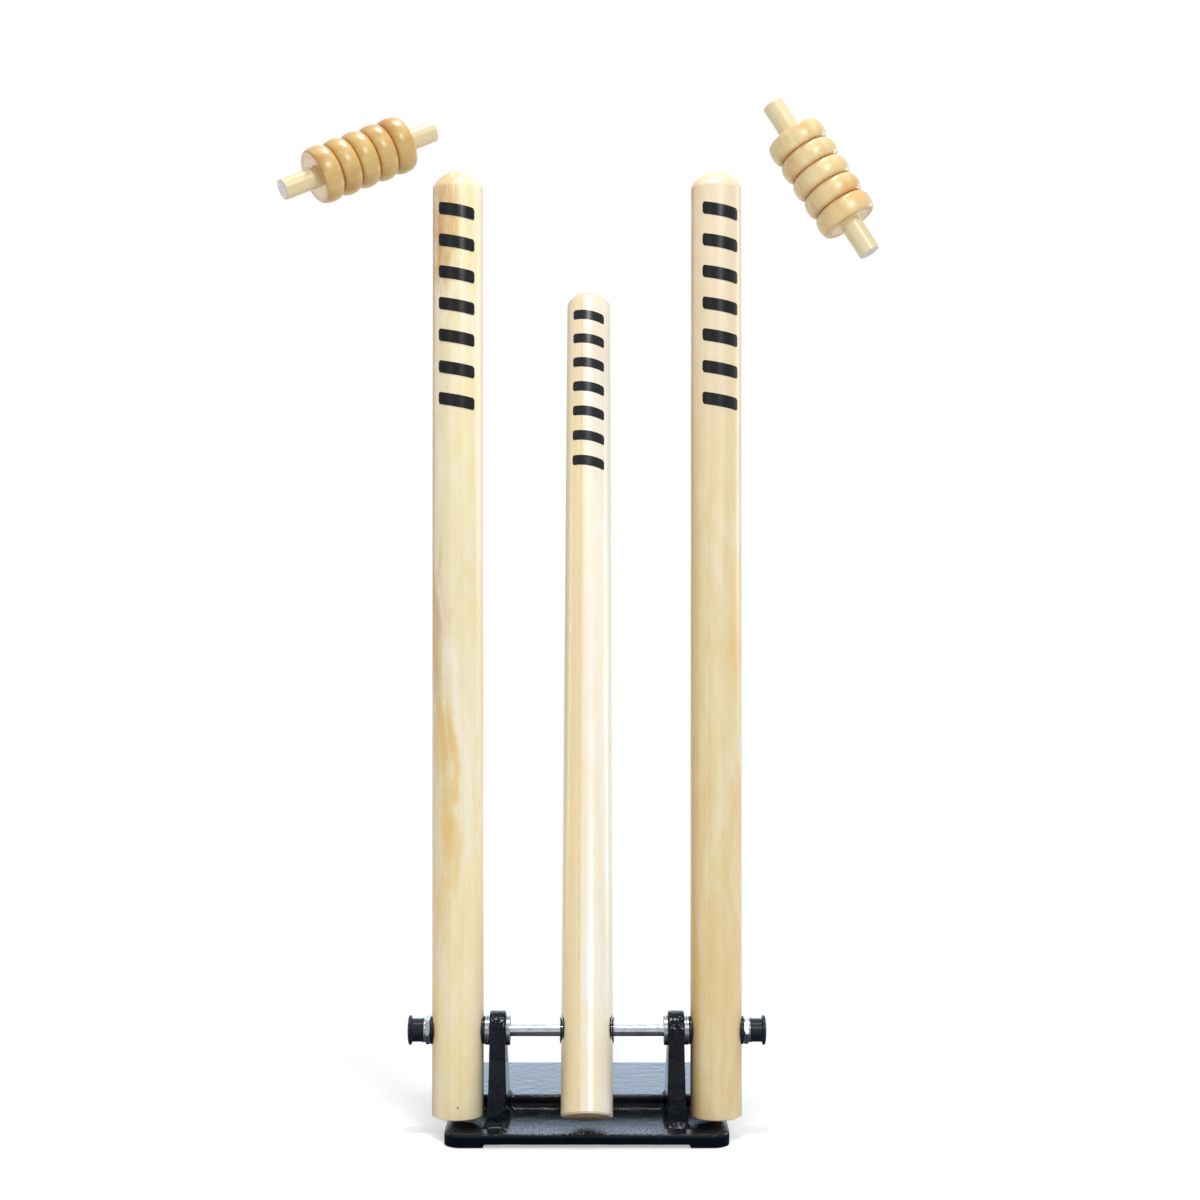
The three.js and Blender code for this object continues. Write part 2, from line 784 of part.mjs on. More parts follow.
function rodGroup() {
  const rod = new THREE.Group();
  rod.position.z = rodHeight;
  rod.add(piece("pivot_rod", pivotRod(), "chrome"));
  const sides = [["left", -1, leftNutTurn], ["right", 1, rightNutTurn]];
  for (const [name, side, nutTurn] of sides) {
    const washerShape = washer(washerDiameter, washerThickness);
    const endWasherShape = washer(endWasherDiameter, endWasherThickness);
    const nut = hexNut(-side * nutTurn);
    const screw = piece(`${name}_set_screw`, setScrew(), "phosphate");
    screw.position.set(side * bracketX, rodRadius + fit, 0);
    screw.rotation.z = Math.PI / 2;
    rod.add(
      along(piece(`${name}_bracket_bush`, bracketBush(), "zinc"), side * bracketInnerX, -side),
      screw,
      along(piece(`${name}_bracket_washer`, washerShape, "zinc"), side * bracketWasherX, side),
      along(piece(`${name}_stump_washer`, washerShape, "zinc"), side * innerWasherX, side),
      along(piece(`${name}_jam_nut`, nut, "zinc"), side * nutX, side),
      along(piece(`${name}_end_washer`, endWasherShape, "zinc"), side * endWasherX, side),
      along(piece(`${name}_end_cap`, endCap(), "plastic"), side * capX, side),
      along(piece(`middle_${name}_retainer`, retainer(), "phosphate"), side * retainerX, side),
    );
  }
  rod.add(
    returnSpring("left_return_spring", -stumpSpacing, 0),
    returnSpring("middle_return_spring", 0, -middleTilt),
    returnSpring("right_return_spring", stumpSpacing, 0),
  );
  return rod;
}

function stumpGroup(name, x, tilt, spotDepth, flangeThickness, wood) {
  const stump = new THREE.Group();
  stump.position.set(x, 0, rodHeight);
  stump.rotation.x = -tilt * degree;
  const flat = stumpRadius - spotDepth;
  const bush = stumpBush(spotDepth, flangeThickness);
  stump.add(
    piece(`${name}_stump`, woodenStump(spotDepth), wood),
    along(piece(`${name}_stump_left_bush`, bush, "plastic"), -flat, -1),
    along(piece(`${name}_stump_right_bush`, bush, "plastic"), flat, 1),
  );
  return stump;
}

const stumps = new THREE.Group();
stumps.add(
  piece("base_casting", baseCasting(), "enamel"),
  rodGroup(),
  stumpGroup("left", -stumpSpacing, 0, outerSpotDepth, outerFlangeThickness, "yellowWood"),
  stumpGroup("middle", 0, middleTilt, middleSpotDepth, middleFlangeThickness, "creamWood"),
  stumpGroup("right", stumpSpacing, 0, outerSpotDepth, outerFlangeThickness, "tanWood"),
  flyingBail(piece("left_bail", turnedBail(), "yellowWood"), -1, leftFlightDistance, leftFlight),
  flyingBail(piece("right_bail", turnedBail(), "yellowWood"), 1, rightFlightDistance, rightFlight),
);

export default stumps;
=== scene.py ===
"""Looks of the spring-back cricket stumps: pale varnished wood on a black enamelled casting."""
import json
import math

import bpy
import numpy as np
from mathutils import Matrix, Vector, noise

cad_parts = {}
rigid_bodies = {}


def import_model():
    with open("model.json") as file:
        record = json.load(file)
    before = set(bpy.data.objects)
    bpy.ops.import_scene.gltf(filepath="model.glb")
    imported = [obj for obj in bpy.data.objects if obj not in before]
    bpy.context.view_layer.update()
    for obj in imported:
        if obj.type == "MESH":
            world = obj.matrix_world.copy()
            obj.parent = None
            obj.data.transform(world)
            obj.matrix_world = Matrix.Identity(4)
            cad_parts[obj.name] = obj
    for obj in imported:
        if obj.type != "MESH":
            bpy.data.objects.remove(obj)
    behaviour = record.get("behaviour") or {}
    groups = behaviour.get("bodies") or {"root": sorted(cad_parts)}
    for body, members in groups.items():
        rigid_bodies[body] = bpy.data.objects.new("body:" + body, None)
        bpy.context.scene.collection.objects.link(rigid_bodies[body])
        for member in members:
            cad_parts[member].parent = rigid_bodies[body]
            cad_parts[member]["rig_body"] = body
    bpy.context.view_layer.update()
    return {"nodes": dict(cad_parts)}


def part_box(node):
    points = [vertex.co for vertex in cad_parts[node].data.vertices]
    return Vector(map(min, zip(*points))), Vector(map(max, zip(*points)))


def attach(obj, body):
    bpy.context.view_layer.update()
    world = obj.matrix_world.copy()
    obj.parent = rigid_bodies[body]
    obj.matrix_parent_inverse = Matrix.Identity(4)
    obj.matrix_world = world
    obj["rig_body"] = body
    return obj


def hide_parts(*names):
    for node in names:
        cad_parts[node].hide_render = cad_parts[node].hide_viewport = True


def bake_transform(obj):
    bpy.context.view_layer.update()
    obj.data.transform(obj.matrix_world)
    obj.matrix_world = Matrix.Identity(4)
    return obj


MM = 0.001
DEG = math.pi / 180

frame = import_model()
nodes = frame["nodes"]

# Sizes of the model that these pieces follow, in millimetres and degrees
STUMP_RADIUS = 19.0
STUMP_TOP_RADIUS = 18.5
STUMP_BELOW_ROD = 63.0
STUMP_ABOVE_ROD = 634.412
STUMP_SPACING = 95.3
MIDDLE_TILT = 23.4
DOME_RADIUS = 18.2
DOME_HEIGHT = 12.2
DOME_RIM_RADIUS = 18.15
SHOULDER_BREAK = 1.3
GROOVE_RADIUS = 7.0
GROOVE_DEPTH = 4.5
CROSS_BORE_RADIUS = 8.0
SPOT_RADIUS = 10.8
OUTER_SPOT_DEPTH = 1.2
MIDDLE_SPOT_DEPTH = 2.2
OUTER_FLANGE_THICKNESS = 2.2
MIDDLE_FLANGE_THICKNESS = 1.3
STUMP_FLANGE_RADIUS = 10.3
STUMP_SLEEVE_RADIUS = 7.7
STUMP_SLEEVE_END = 10.45
OUTER_TEAR = 1.6
MIDDLE_TEAR = 0.3

ROD_RADIUS = 4.5
ROD_CHAMFER = 0.8
BORE_RADIUS = 4.8
LEG_HOLE_RADIUS = 1.2
LEG_HOLE_X = 8.75
LEG_HOLE_IN_ROD = (1.7, 6.5)
LEG_HOLE_IN_WOOD = (0, 13.3)

WASHER = {"thickness": 1.7, "radius": 10.75}
END_WASHER = {"thickness": 1.3, "radius": 8.9}
NUT_APOTHEM = 9.2
NUT_THICKNESS = 3.3
NUT_CHAMFER = 0.9
NUT_BORE_CHAMFER = 0.35
NUT_TURNS = {"left": 20, "right": -27}
BRACKET_FLANGE_RADIUS = 11.0
BRACKET_FLANGE_THICKNESS = 3.0
BRACKET_SLEEVE_RADIUS = 7.0
BRACKET_SLEEVE_LENGTH = 11.5
RETAINER_RADIUS = 9.5
RETAINER_THICKNESS = 0.8
RETAINER_DISH = 0.7
CAP_LENGTH = 12.1
CAP_DOME = 1.4
CAP_RIM_RADIUS = 8.9
CAP_RIM_WIDTH = 1.3
CAP_BODY_RADIUS = 8.55
CAP_FLARE = 0.5
CAP_FLANGE_RADIUS = 10.7
CAP_FLANGE_FROM = 9.1

BAIL_HALF = 28.25
BAIL_BEADS = 5
BEAD_RADIUS = 15.5
WAIST_RADIUS = 11.7
FACE_RADIUS = 13.25
SPIGOT_RADIUS = 5.7
LONG_SPIGOT = 19.6
SHORT_SPIGOT = 19.1

rod_low, rod_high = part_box("pivot_rod")
ROD_HEIGHT = (rod_low.z + rod_high.z) / 2 / MM
STUMP_PLACES = {"left": -STUMP_SPACING, "middle": 0, "right": STUMP_SPACING}


# Meshes

def linked(name, data):
    obj = bpy.data.objects.new(name, data)
    bpy.context.scene.collection.objects.link(obj)
    return obj


def piece(name, verts, faces):
    """A smooth-shaded object of points in millimetres."""
    mesh = bpy.data.meshes.new(name)
    mesh.from_pydata([tuple(p) for p in np.asarray(verts, float) * MM], [], faces)
    mesh.validate()
    mesh.shade_smooth()
    return linked(name, mesh)


def copy_of(node_name, name):
    """A copy of a CAD node, with its mesh in the frame of the whole part."""
    source = nodes[node_name]
    mesh = source.data.copy()
    mesh.transform(source.matrix_world)
    return linked(name, mesh)


def rounded(profile, radius=0.3, steps=4, closed=False):
    """A profile with its corners rounded, and a point beside each round to hold its flats."""
    slight_bend = 12 * DEG
    points = [Vector(p) for p in profile]
    count = len(points)
    made = []
    for i, point in enumerate(points):
        if not closed and i in (0, count - 1):
            made.append(point)
            continue
        before, after = points[i - 1] - point, points[(i + 1) % count] - point
        turn = math.pi - before.angle(after)
        if turn < slight_bend:
            made.append(point)
            continue
        reach = min(radius * math.tan(turn / 2), 0.4 * before.length, 0.4 * after.length)
        start, end = point + before.normalized() * reach, point + after.normalized() * reach
        hold = 0.15 * reach
        made.append(start + before.normalized() * hold)
        for step in range(steps + 1):
            t = step / steps
            made.append((1 - t) ** 2 * start + 2 * t * (1 - t) * point + t * t * end)
        made.append(end + after.normalized() * hold)
    return [tuple(p) for p in made]


def revolved(name, profile, sides=96, closed=False, reach=None):
    """A piece turned about the X axis. reach(angle, x, radius) may shape its outline."""
    verts, rings = [], []
    for x, radius in profile:
        if radius < 1e-6:
            rings.append([len(verts)])
            verts.append((x, 0, 0))
            continue
        rings.append(range(len(verts), len(verts) + sides))
        for i in range(sides):
            angle = 2 * math.pi * i / sides
            r = reach(angle, x, radius) if reach else radius
            verts.append((x, r * math.cos(angle), r * math.sin(angle)))
    faces = []
    pairs = list(zip(rings, rings[1:])) + ([(rings[-1], rings[0])] if closed else [])
    for low, high in pairs:
        for i in range(sides):
            j = (i + 1) % sides
            if len(low) == 1:
                faces.append((low[0], high[j], high[i]))
            elif len(high) == 1:
                faces.append((low[i], low[j], high[0]))
            else:
                faces.append((low[i], low[j], high[j], high[i]))
    return piece(name, verts, faces)


def ring(name, profile, radius):
    """A turned piece whose profile closes on itself, with its edges rounded."""
    return revolved(name, rounded(profile, radius, closed=True), closed=True)


def final_mesh(obj):
    """Puts the result of the object's modifiers into its mesh."""
    bpy.context.view_layer.update()
    graph = bpy.context.evaluated_depsgraph_get()
    mesh = bpy.data.meshes.new_from_object(obj.evaluated_get(graph), depsgraph=graph)
    obj.modifiers.clear()
    obj.data = mesh


def carve(obj, cutters):
    """Takes the cutters out of the object and removes them."""
    for cutter in cutters:
        modifier = obj.modifiers.new("cut", "BOOLEAN")
        modifier.operation = "DIFFERENCE"
        modifier.solver = "EXACT"
        modifier.object = cutter
    final_mesh(obj)
    for cutter in cutters:
        bpy.data.objects.remove(cutter)
    obj.data.set_sharp_from_angle(angle=35 * DEG)


def leg_hole(x, reach):
    """A cutter for a spring's upright leg at x. reach is where it starts and ends above the rod's axis."""
    start, end = reach
    radius = LEG_HOLE_RADIUS
    hole = revolved("cut_leg", [(start, 0), (start, radius), (end, radius), (end, 0)], sides=24)
    hole.matrix_world = Matrix.Translation((x * MM, 0, 0)) @ Matrix.Rotation(-math.pi / 2, 4, "Y")
    return hole


def towards(facing):
    """Leaves a piece drawn along +X as it is, or turns it half round to face -X."""
    return Matrix.Identity(4) if facing > 0 else Matrix.Rotation(math.pi, 4, "Y")


def stand_for(obj, node_name, material):
    """The piece takes the place of a CAD node: its body and a finish."""
    obj.data.materials.clear()
    obj.data.materials.append(material)
    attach(obj, nodes[node_name]["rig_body"])
    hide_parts(node_name)


# Shader nodes

def node(tree, kind, inputs=(), **settings):
    made = tree.nodes.new("ShaderNode" + kind)
    for key, value in settings.items():
        setattr(made, key, value)
    for key, value in dict(inputs).items():
        if isinstance(value, bpy.types.NodeSocket):
            tree.links.new(value, made.inputs[key])
        else:
            made.inputs[key].default_value = value
    return made


def finish_of(name, **values):
    """A Principled material, its tree and its shader."""
    material = bpy.data.materials.new(name)
    material.use_nodes = True
    shader = material.node_tree.nodes["Principled BSDF"]
    for key, value in values.items():
        shader.inputs[key.replace("_", " ")].default_value = value
    return material, material.node_tree, shader


def dress(tree, shader, colour, roughness, relief, depth, strength):
    """Links a finish's tones, its gloss and its relief to the shader."""
    tree.links.new(colour, shader.inputs["Base Color"])
    tree.links.new(roughness, shader.inputs["Roughness"])
    raised = node(tree, "Bump", {"Height": relief, "Distance": depth * MM, "Strength": strength})
    tree.links.new(raised.outputs[0], shader.inputs["Normal"])


def math_node(tree, operation, *values):
    return node(tree, "Math", dict(enumerate(values)), operation=operation).outputs[0]


def times(tree, a, b):
    return math_node(tree, "MULTIPLY", a, b)


def times_plus(tree, value, factor, more):
    return math_node(tree, "MULTIPLY_ADD", value, factor, more)


def distance_from(tree, value, centre):
    return math_node(tree, "ABSOLUTE", math_node(tree, "SUBTRACT", value, centre))


def spread(tree, value, low, high, to_low=0.0, to_high=1.0):
    """The value from low to high, spread over another range and clamped."""
    inputs = {"Value": value, "From Min": low, "From Max": high, "To Min": to_low, "To Max": to_high}
    return node(tree, "MapRange", inputs).outputs[0]


def ramp(tree, place, start, end, share=1.0):
    """From 0 at one place to the share at another, both in millimetres."""
    return spread(tree, place, start * MM, end * MM, 0, share)


def own_place(tree):
    """Object coordinates, in metres."""
    return node(tree, "TexCoord").outputs["Object"]


def mapped(tree, vector, scale=(1, 1, 1), offset=(0, 0, 0)):
    return node(tree, "Mapping", {"Vector": vector, "Scale": scale, "Location": offset}).outputs[0]


def axes_of(tree, vector):
    return node(tree, "SeparateXYZ", {0: vector}).outputs


def length_of(tree, vector):
    return node(tree, "VectorMath", {0: vector}, operation="LENGTH").outputs["Value"]


def clouds(tree, vector, scale=1.0, detail=3.0, roughness=0.5, distortion=0.0):
    inputs = {"Vector": vector, "Scale": scale, "Detail": detail, "Roughness": roughness,
              "Distortion": distortion}
    return node(tree, "TexNoise", inputs).outputs["Fac"]


def blend_colour(tree, factor, a, b):
    made = node(tree, "Mix", data_type="RGBA")
    for index, value in ((0, factor), (6, a), (7, b)):
        if isinstance(value, bpy.types.NodeSocket):
            tree.links.new(value, made.inputs[index])
        else:
            made.inputs[index].default_value = value
    return made.outputs[2]


def laid_over(tree, colour, tone, value, low, high, share=1.0):
    """The colour under a tone that grows to its share as the value goes from low to high."""
    return blend_colour(tree, spread(tree, value, low, high, 0, share), colour, tone)


def srgb(r, g, b):
    """A display colour of 0 to 255 as the linear one that shaders take."""
    def linear(v):
        v /= 255
        return v / 12.92 if v <= 0.04045 else ((v + 0.055) / 1.055) ** 2.4
    return linear(r), linear(g), linear(b), 1.0


def scaled(colour, *factors):
    """The colour with each channel times its factor, at most 1."""
    return tuple(min(1.0, c * k) for c, k in zip(colour[:3], factors)) + (1,)


# Finishes

def growth_bands(tree, place, sway, heart, period):
    """Bands round a heart beside the piece, each rising slowly and ending sharply."""
    away = length_of(tree, mapped(tree, place, (1, 1, 0), (-heart[0] * MM, -heart[1] * MM, 0)))
    swayed = times_plus(tree, sway, 20 * MM, away)
    phase = math_node(tree, "FRACT", math_node(tree, "DIVIDE", swayed, period * MM))
    return times(tree, math_node(tree, "POWER", phase, 1.6), spread(tree, phase, 1.0, 0.82))


def blushed(tree, colour, place, blushes, patch, mottle):
    """The colour with soft patches, their edges torn by two noises."""
    for centre, reach, strength, tone in blushes:
        scale = tuple(1 / (r * MM) for r in reach)
        offset = tuple(-c * MM * k for c, k in zip(centre, scale))
        far = length_of(tree, mapped(tree, place, scale, offset))
        torn = times_plus(tree, patch, -2.2, math_node(tree, "ADD", far, 1.1))
        torn = times_plus(tree, mottle, -0.7, math_node(tree, "ADD", torn, 0.35))
        colour = laid_over(tree, colour, tone, torn, 1.05, 0.25, strength)
    return colour


def bail_tones(tree, colour, place, fleck):
    """The colour with painted shade darkening the waists between the beads, and pale spigots; also where
    the ends are cut, and their grain.
    """
    radius = length_of(tree, mapped(tree, place, (1, 1, 0)))
    # Painted shade: the waists between the beads, and the bead flanks down to them, take a darker
    # orange-brown all round.
    waist_shade = times(tree, ramp(tree, radius, BEAD_RADIUS - 0.6, WAIST_RADIUS + 0.4),
                  ramp(tree, radius, WAIST_RADIUS - 1.2, WAIST_RADIUS - 0.2))
    colour = blend_colour(tree, times(tree, waist_shade, 0.8), colour, srgb(196, 136, 70))
    spigot = ramp(tree, radius, SPIGOT_RADIUS + 0.7, SPIGOT_RADIUS + 0.3, 0.75)
    colour = blend_colour(tree, spigot, colour, srgb(236, 222, 180))
    middle = (SHORT_SPIGOT - LONG_SPIGOT) / 2 * MM
    end = BAIL_HALF + SHORT_SPIGOT
    cut = ramp(tree, distance_from(tree, axes_of(tree, place)["Z"], middle), end + 0.1, end + 0.2)
    grain = blend_colour(tree, spread(tree, fleck, 0.4, 0.6), srgb(226, 218, 216), srgb(196, 186, 186))
    return colour, cut, grain


def wood(name, pale, warm, deep, seed, heart, period, rings=0.2, streaks=0.35, side_band_and_painted_shade=None,
         line=None, blushes=(), coat=0.35, gloss=0.3, bail=False):
    """Varnished timber as a solid: clouded tones, growth bands, streaks, fibres and raw end grain.

    The bands lie round the heart, a period apart. The side band, (start, end, strength, tone), gives one
    side of the piece another tone:
    painted shade along the outer stumps' left edges, and on the middle stump partly a band of the grain,
    partly painted shade. line is the place of a fine dark vein across the piece.
    blushes are mottled patches, each (centre, reach, strength, tone). All lengths are in
    millimetres. A stump stands along Z, and a bail lies along X.
    """
    material, tree, shader = finish_of(name, Coat_Weight=coat, Coat_Roughness=gloss, IOR=1.45)
    place = own_place(tree)
    if bail:
        place = node(tree, "Mapping", {"Vector": place, "Rotation": (0, -math.pi / 2, 0)}).outputs[0]
    across = axes_of(tree, place)["X"]
    moved = mapped(tree, place, offset=(seed, seed * 0.7, seed * 1.3))

    def grown(sideways, lengthways, **settings):
        return clouds(tree, mapped(tree, moved, (sideways, sideways, lengthways)), **settings)

    def wavering(wave, reach):
        return times_plus(tree, math_node(tree, "SUBTRACT", wave, 0.5), reach * MM, across)

    sway = grown(16, 2.4, detail=2)
    tint = grown(36, 11, detail=2, distortion=0.5)
    patch = grown(64, 17, detail=4, roughness=0.6, distortion=0.7)
    mottle = grown(190, 75, detail=4, roughness=0.65)
    broad = grown(120, 2.2, roughness=0.55)
    narrow = grown(430, 5, roughness=0.6)
    fibre = grown(1500, 26, roughness=0.7)
    fleck = grown(2200, 130, detail=1)
    band = growth_bands(tree, place, sway, heart, period)

    colour = laid_over(tree, pale, scaled(pale, 0.96, 0.95, 0.82), tint, 0.42, 0.62)
    colour = laid_over(tree, colour, warm, patch, 0.4, 0.68, 0.8)
    colour = laid_over(tree, colour, warm, broad, 0.46, 0.72, streaks)
    colour = laid_over(tree, colour, scaled(pale, 1.06, 1.08, 1.14), broad, 0.45, 0.28, streaks)
    # A tone on one side of the piece: painted shade along the outer stumps' left edges, and on the middle
    # stump partly a band of the grain, partly painted shade.
    if side_band_and_painted_shade:
        start, end, strength, tone = side_band_and_painted_shade
        held = ramp(tree, wavering(broad, 6), start, end, strength)
        colour = blend_colour(tree, held, colour, tone)
    colour = blend_colour(tree, times(tree, band, rings), colour, deep)
    colour = laid_over(tree, colour, deep, narrow, 0.55, 0.8, streaks * 0.6)
    colour = blushed(tree, colour, place, blushes, patch, mottle)
    dark = scaled(deep, 0.66, 0.6, 0.5)
    if line:
        off = distance_from(tree, wavering(sway, 4), line * MM)
        vein = times(tree, ramp(tree, off, 0.4, 0.1), spread(tree, fleck, 0.42, 0.6))
        colour = blend_colour(tree, times(tree, vein, 0.6), colour, dark)
    colour = laid_over(tree, colour, dark, fibre, 0.6, 0.85, 0.2)
    colour = laid_over(tree, colour, dark, fleck, 0.7, 0.8, 0.3)

    if bail:
        colour, cut, grain = bail_tones(tree, colour, place, fleck)
    else:
        cut = ramp(tree, axes_of(tree, place)["Z"], 0.12 - STUMP_BELOW_ROD, 0.04 - STUMP_BELOW_ROD)
        grain = blend_colour(tree, times(tree, band, 0.7), srgb(206, 168, 128), srgb(170, 124, 88))
    colour = blend_colour(tree, cut, colour, grain)
    worn = times_plus(tree, cut, 0.25, spread(tree, fibre, 0.3, 0.7, 0.34, 0.48))
    dress(tree, shader, colour, worn, times_plus(tree, mottle, 0.8, fibre), 0.08, 0.35)
    return material


def bail_wood(name, pale, warm, deep, spot):
    """Turned timber with spots of a deeper tone on its beads."""
    places = (
        ((-8, -9, 17), (10, 10, 10), 0.7), ((7, -11, -13), (10, 10, 11), 0.7),
        ((4, 12, 5), (9, 9, 13), 0.6), ((-12, 5, -7), (9, 9, 12), 0.6),
        ((10, 6, 24), (9, 9, 8), 0.6), ((-5, -12, -27), (9, 9, 7), 0.6),
    )
    return wood(name, pale, warm, deep, seed=5.2, heart=(-12, -20), period=8.5,
                blushes=[(*place, spot) for place in places], coat=0.6, gloss=0.27, bail=True)


def enamel():
    """Black gloss enamel over sand-cast iron: rippled on top, sandy on the low shelf, calm on the walls.
    The pale dots on the open middle of the shelf are painted sparkle highlights.
    """
    material, tree, shader = finish_of("black_enamel", IOR=1.37, Specular_IOR_Level=0.4)
    place = own_place(tree)
    parts = axes_of(tree, place)
    height = parts["Z"]
    up = axes_of(tree, node(tree, "NewGeometry").outputs["Normal"])["Z"]
    facing_up = spread(tree, up, 0.8, 0.97)
    shelf = times(tree, facing_up, ramp(tree, height, 13.5, 11.5))
    plateau = times(tree, facing_up, ramp(tree, height, 19.5, 20.5))
    bosses = ramp(tree, height, 58, 66)
    bracket_feet = times(tree, spread(tree, up, 0.92, 0.7),
                         ramp(tree, distance_from(tree, height, 11.8 * MM), 2.8, 1.4))

    sand = clouds(tree, place, scale=1150, roughness=0.65)
    grit = spread(tree, clouds(tree, place, scale=520, detail=1, roughness=0.6), 0.55, 0.61)
    ripple = clouds(tree, mapped(tree, place, (120, 520, 200)), detail=2)
    lumps = clouds(tree, place, scale=300, detail=2)
    swell = clouds(tree, place, scale=150, detail=2)
    where = clouds(tree, place, scale=24, detail=2)
    lumpy = times_plus(tree, math_node(tree, "MAXIMUM", bosses, bracket_feet), 1.7, 0.25)
    relief = times(tree, sand, 0.14)
    for layer, depth in ((grit, times(tree, shelf, 0.9)), (ripple, times(tree, plateau, 0.35)),
                         (lumps, lumpy), (swell, 0.5)):
        relief = times_plus(tree, layer, depth, relief)

    colour = blend_colour(tree, spread(tree, where, 0.35, 0.7), srgb(3, 7, 15), srgb(9, 14, 24))
    # Painted sparkle: pale grit dots on the shelf between the brackets, towards its front edge, stand for
    # highlights off the sandy skin.
    between_brackets = ramp(tree, math_node(tree, "ABSOLUTE", parts["X"]), 64, 58)
    sparkle_band = times(tree, between_brackets, ramp(tree, parts["Y"], -6, -22))
    painted_sparkle = times(tree, times(tree, shelf, grit), sparkle_band)
    colour = blend_colour(tree, times(tree, painted_sparkle, 0.9), colour, srgb(150, 158, 168))
    gloss = times_plus(tree, shelf, 0.16, spread(tree, where, 0.3, 0.7, 0.07, 0.13))
    dress(tree, shader, colour, gloss, relief, 0.5, 0.7)
    return material


def metal(name, colour, low, high, scale):
    """Bare or plated metal with faint marks. Its roughness goes from low to high."""
    material, tree, shader = finish_of(name, Metallic=1.0)
    marks = clouds(tree, own_place(tree), scale=scale, detail=4, roughness=0.7)
    tone = laid_over(tree, colour, scaled(colour, 0.72, 0.72, 0.72), marks, 0.4, 0.72)
    dress(tree, shader, tone, spread(tree, marks, 0.3, 0.7, low, high), marks, 0.02, 0.5)
    return material


def plastic(name, colour, low, high):
    """Dark plastic or ink, a little clouded. Its roughness goes from low to high."""
    material, tree, shader = finish_of(name, IOR=1.4)
    place = own_place(tree)
    marks = clouds(tree, place, scale=700, roughness=0.6)
    soft = clouds(tree, place, scale=90, detail=2)
    tone = blend_colour(tree, soft, colour, scaled(colour, 1.5, 1.5, 1.5))
    dress(tree, shader, tone, spread(tree, marks, 0.3, 0.7, low, high), marks, 0.01, 0.2)
    return material


GOLD = srgb(234, 196, 118)
BROWN = srgb(214, 162, 92)
KNOT = srgb(122, 88, 44)
ROSE = srgb(240, 220, 196)
YELLOW = wood(
    "yellow_wood", srgb(252, 243, 218), srgb(244, 227, 174), srgb(226, 190, 122),
    seed=3.1, heart=(-35, -12), period=8.5, streaks=0.2,
    # The side band is painted shade along the stump's left edge.
    side_band_and_painted_shade=(-13, -18.5, 0.6, srgb(226, 182, 108)),
    blushes=(
        ((-10, -12, 598), (14, 16, 62), 0.95, BROWN),
        ((-8, -15, 208), (12, 14, 50), 0.8, GOLD),
        ((-6, -16, 146), (11, 14, 44), 0.85, GOLD),
        ((-15, -8, 292), (10, 16, 66), 0.7, BROWN),
        ((-12, -12, 90), (9, 14, 36), 0.6, GOLD),
        ((0, -10, 20), (36, 36, 170), 0.25, srgb(255, 226, 156)),
        ((1.2, -19, -53), (1.0, 3, 1.2), 0.9, KNOT),
    ))
CREAM = wood(
    "cream_wood", srgb(243, 238, 228), srgb(243, 232, 207), srgb(228, 198, 154),
    seed=7.7, heart=(12, -30), period=6.2, rings=0.1, line=-6.2, coat=0.85, gloss=0.26,
    # The side band is partly a band of the grain left of the vein and partly painted shade on that side.
    side_band_and_painted_shade=(-3.4, -4.8, 0.9, srgb(238, 217, 168)),
    blushes=(
        ((0, -10, 585), (30, 30, 60), 0.6, ROSE),
        ((2, -10, -30), (26, 26, 50), 0.5, srgb(239, 221, 174)),
    ))
TAN = wood(
    "tan_wood", srgb(241, 227, 191), srgb(233, 207, 152), srgb(204, 166, 106),
    seed=12.3, heart=(45, -20), period=10.5, streaks=0.2,
    # The side band is painted shade along the stump's left edge.
    side_band_and_painted_shade=(-12, -18.5, 0.7, srgb(200, 160, 98)),
    blushes=(
        ((-18, -4, 60), (8, 16, 130), 0.5, BROWN),
        ((14, -12, 300), (8, 14, 60), 0.4, GOLD),
        ((0, -10, 30), (36, 36, 190), 0.4, srgb(232, 194, 124)),
        ((0, -10, 560), (30, 30, 150), 0.75, ROSE),
    ))
BAILS = {
    "left": bail_wood("bail_wood_tan", srgb(219, 187, 118), srgb(206, 160, 84), srgb(178, 124, 56),
                      spot=srgb(190, 134, 66)),
    "right": bail_wood("bail_wood_pale", srgb(242, 222, 168), srgb(230, 190, 120), srgb(196, 142, 74),
                       spot=srgb(222, 168, 94)),
}
ENAMEL = enamel()
CHROME = metal("chrome", (0.82, 0.84, 0.87, 1), 0.05, 0.11, 160)
ZINC = metal("zinc", (0.52, 0.53, 0.56, 1), 0.16, 0.3, 420)
DARK_STEEL = metal("dark_steel", (0.16, 0.155, 0.145, 1), 0.28, 0.5, 500)
SPRING_STEEL = metal("spring_steel", (0.42, 0.43, 0.45, 1), 0.25, 0.4, 500)
CAP = plastic("black_plastic", srgb(10, 16, 28), 0.24, 0.34)
INK = plastic("black_ink", srgb(13, 14, 18), 0.24, 0.36)


# Base casting

